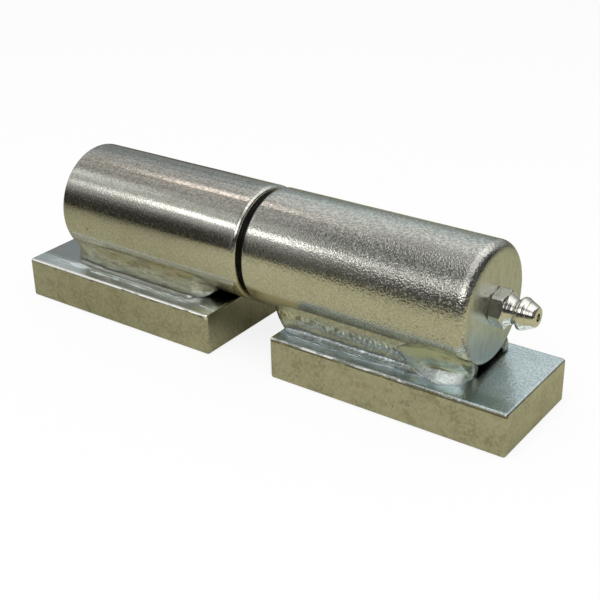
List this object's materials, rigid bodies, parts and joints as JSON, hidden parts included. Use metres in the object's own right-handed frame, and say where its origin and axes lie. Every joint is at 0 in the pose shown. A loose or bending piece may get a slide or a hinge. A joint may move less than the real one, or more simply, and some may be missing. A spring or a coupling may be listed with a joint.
{
  "type": "barrel hinge",
  "caption": "Weld-on barrel hinge: two round barrels in line, each welded along a flat plate, turning on an inner pin greased through an end nipple.",
  "frame": {"origin": "middle of the hinge's outline seen from above, on the plates' undersides", "axes": "+X along the hinge axis towards the grease nipple, +Z from the plates up through the barrels"},
  "size_m": [0.1246, 0.0278, 0.035],
  "materials": {
    "zinc_barrel": "bright zinc plate on drawn round bar, finely pitted",
    "zinc_plate": "bright zinc plate on flat bar, satin with a bluish cast",
    "zinc_weld": "zinc plate over rippled weld metal",
    "ground_steel": "ground and greased",
    "black_washer": "oil-blackened",
    "nipple_zinc": "bright zinc plate, turned",
    "ball_steel": "polished ball",
    "spring_steel": "drawn wire"
  },
  "bodies": {
    "pin_half": {"pin_side_barrel": "zinc_barrel", "pin_side_plate": "zinc_plate", "pin_side_weld_front": "zinc_weld", "pin_side_weld_rear": "zinc_weld", "hinge_pin": "ground_steel"},
    "washer": {"thrust_washer": "black_washer"},
    "bore_half": {"bore_side_barrel": "zinc_barrel", "bore_side_plate": "zinc_plate", "bore_side_weld_front": "zinc_weld", "bore_side_weld_rear": "zinc_weld", "nipple_body": "nipple_zinc", "nipple_spring": "spring_steel"},
    "check_ball": {"nipple_check_ball": "ball_steel"}
  },
  "joints": [
    {"name": "lift_off", "type": "slide", "parent": "pin_half", "child": "washer", "axis": [1, 0, 0], "range_m": [0, 0.0428]},
    {"name": "hinge", "type": "hinge", "parent": "washer", "child": "bore_half", "pos_m": [-0.00125, 0.0012, 0.02233], "axis": [1, 0, 0], "continuous": true},
    {"name": "check_valve", "type": "slide", "parent": "bore_half", "child": "check_ball", "axis": [-1, 0, 0], "range_m": [0, 0.0008], "stiffness_N_per_m": 120, "springref_m": -0.0005, "deforming": ["nipple_spring"]}
  ]
}
